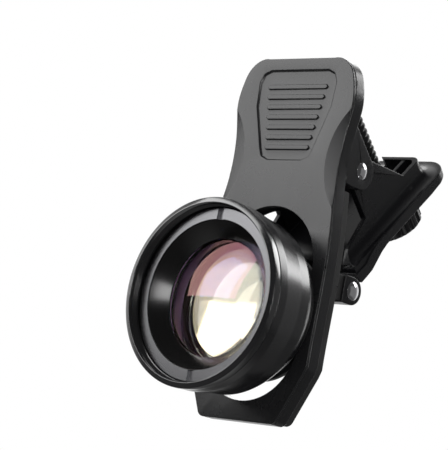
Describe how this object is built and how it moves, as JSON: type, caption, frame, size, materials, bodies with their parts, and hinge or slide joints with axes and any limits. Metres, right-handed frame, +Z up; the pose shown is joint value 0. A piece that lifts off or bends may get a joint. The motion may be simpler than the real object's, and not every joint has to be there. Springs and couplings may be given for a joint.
{
  "type": "clip on phone lens",
  "caption": "Add-on phone camera lens on a spring clip: the lens slides in the plate's slot and a thumb screw locks the clip's jaws.",
  "frame": {"origin": "on the lens axis with the lens in its stored place in the slot, at the face of the front pad that meets the phone", "axes": "+Z up along the plate, +Y from the lens's front towards the phone, +X to the right seen from the lens's front"},
  "size_m": [0.04, 0.0643, 0.0787],
  "materials": {
    "plate_black": "satin black",
    "cover_black": "satin black",
    "arm_black": "satin black",
    "pad_rubber": "matte",
    "pin_chrome": "polished",
    "spring_steel": "bright",
    "bush_black": "dark",
    "screw_black": "satin",
    "knob_black": "satin",
    "slide_black": "satin",
    "barrel_black": "gloss black",
    "rim_black": "gloss black",
    "ring_black": "satin",
    "funnel_black": "satin",
    "coated_glass": "coated",
    "inner_glass": "coated",
    "inner_black": "matte"
  },
  "bodies": {
    "plate": {"front_arm": "plate_black", "face_cover": "cover_black", "front_pad": "pad_rubber", "pivot_pin": "pin_chrome", "torsion_spring": "spring_steel"},
    "rear": {"rear_arm": "arm_black", "spring_leg": "spring_steel", "screw_insert": "bush_black", "jaw_pin": "pin_chrome"},
    "jaw": {"jaw_foot": "arm_black", "jaw_pad": "pad_rubber"},
    "screw_travel": {"screw_tip": "pad_rubber"},
    "screw": {"clamp_screw": "screw_black", "knob": "knob_black"},
    "slide": {"slide_ring": "slide_black", "friction_washer": "inner_black", "slide_nut": "slide_black"},
    "lens": {"lens_base": "barrel_black", "lens_barrel": "barrel_black", "front_rim": "rim_black", "front_retaining_ring": "ring_black", "funnel_baffle": "funnel_black", "front_glass": "coated_glass", "spacer_ring": "inner_black", "middle_glass": "inner_glass", "rear_glass": "inner_glass", "rear_retaining_ring": "inner_black"}
  },
  "joints": [
    {"name": "arm_hinge", "type": "hinge", "parent": "plate", "child": "rear", "pos_m": [0, 0.00265, 0.0329], "axis": [1, 0, 0], "range_deg": [0, 25], "stiffness_Nm_per_rad": 0.15, "springref_deg": -51.57},
    {"name": "jaw_swivel", "type": "hinge", "parent": "rear", "child": "jaw", "pos_m": [0, 0.006, 0.00775], "axis": [1, 0, 0], "range_deg": [-15, 15]},
    {"name": "screw_slide", "type": "slide", "parent": "rear", "child": "screw_travel", "axis": [0, -0.7547, 0.6561], "range_m": [-0.00588, 0.00309]},
    {"name": "knob_turn", "type": "hinge", "parent": "screw_travel", "child": "screw", "pos_m": [0, 0.02624, 0.03652], "axis": [0, -0.7547, 0.6561], "range_deg": [-1440, 756]},
    {"name": "lens_slide", "type": "slide", "parent": "plate", "child": "slide", "axis": [0, 0, 1], "range_m": [-0.0057, 0.0094]},
    {"name": "lens_turn", "type": "hinge", "parent": "slide", "child": "lens", "pos_m": [0, 0, 0], "axis": [0, 1, 0], "range_deg": [-180, 0]}
  ],
  "couplings": [
    {"joint": "knob_turn", "follows": "screw_slide", "rad_per_m": 4274.3}
  ]
}
